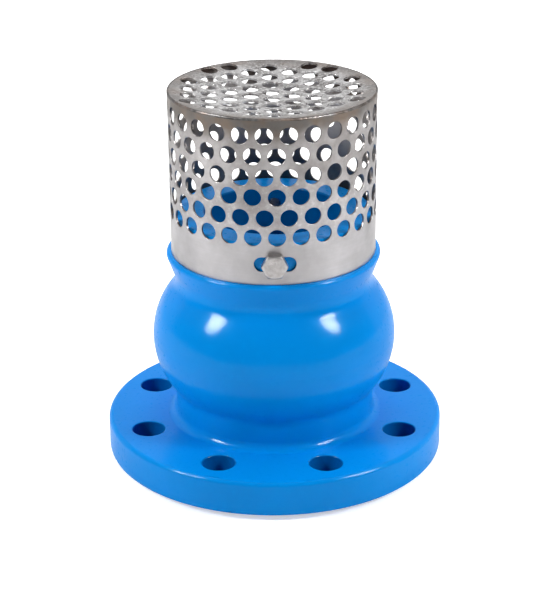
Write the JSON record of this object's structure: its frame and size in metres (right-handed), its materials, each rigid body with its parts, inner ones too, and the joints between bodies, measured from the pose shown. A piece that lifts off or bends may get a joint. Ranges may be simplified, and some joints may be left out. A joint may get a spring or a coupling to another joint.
{
  "type": "foot valve",
  "caption": "Flanged spring-loaded foot valve: bulb-shaped body with an axial disc valve inside and a perforated cylindrical strainer bolted over its inlet neck.",
  "frame": {"origin": "centre of the flange's raised sealing face, the plane the valve stands on", "axes": "+Z along the valve's axis from the flange to the strainer, against the flow; -Y towards the first strainer bolt"},
  "size_m": [0.2, 0.2, 0.2242],
  "materials": {
    "blue_epoxy": "gloss blue fusion-bonded epoxy on ductile iron",
    "seat_bronze": "machined bronze",
    "o_ring_rubber": "smooth black nitrile",
    "disc_stainless": "turned stainless steel",
    "seal_rubber": "moulded black EPDM",
    "stem_stainless": "ground stainless bar",
    "fastener_stainless": "plain stainless",
    "spring_steel": "drawn stainless wire",
    "spider_bronze": "cast bronze, machined ring and bore",
    "bush_bronze": "sintered bronze",
    "snap_ring_steel": "phosphated spring steel",
    "strainer_sheet": "satin stainless sheet",
    "strainer_plate": "satin stainless sheet",
    "weld_ground": "ground weld",
    "weld_bead": "brushed weld bead",
    "bolt_stainless": "cold-headed stainless"
  },
  "bodies": {
    "body": {"valve_body": "blue_epoxy", "seat_ring": "seat_bronze", "seat_o_ring": "o_ring_rubber", "closing_spring": "spring_steel", "spring_seat_lower": "fastener_stainless", "guide_spider": "spider_bronze", "guide_bush_upper": "bush_bronze", "guide_bush_lower": "bush_bronze", "spider_snap_ring": "snap_ring_steel", "strainer_shell": "strainer_sheet", "strainer_end_plate": "strainer_plate", "end_plate_weld": "weld_ground", "shell_seam_weld": "weld_bead", "strainer_bolts": "bolt_stainless"},
    "disc": {"valve_disc": "disc_stainless", "disc_seal": "seal_rubber", "seal_retainer": "disc_stainless", "stem": "stem_stainless", "stem_washer": "fastener_stainless", "stem_nut": "fastener_stainless", "stem_split_pin": "fastener_stainless", "spring_seat_upper": "fastener_stainless"}
  },
  "joints": [
    {"name": "disc_lift", "type": "slide", "parent": "body", "child": "disc", "axis": [0, 0, -1], "range_m": [0, 0.02], "stiffness_N_per_m": 860, "springref_m": -0.02, "deforming": ["closing_spring"]}
  ]
}
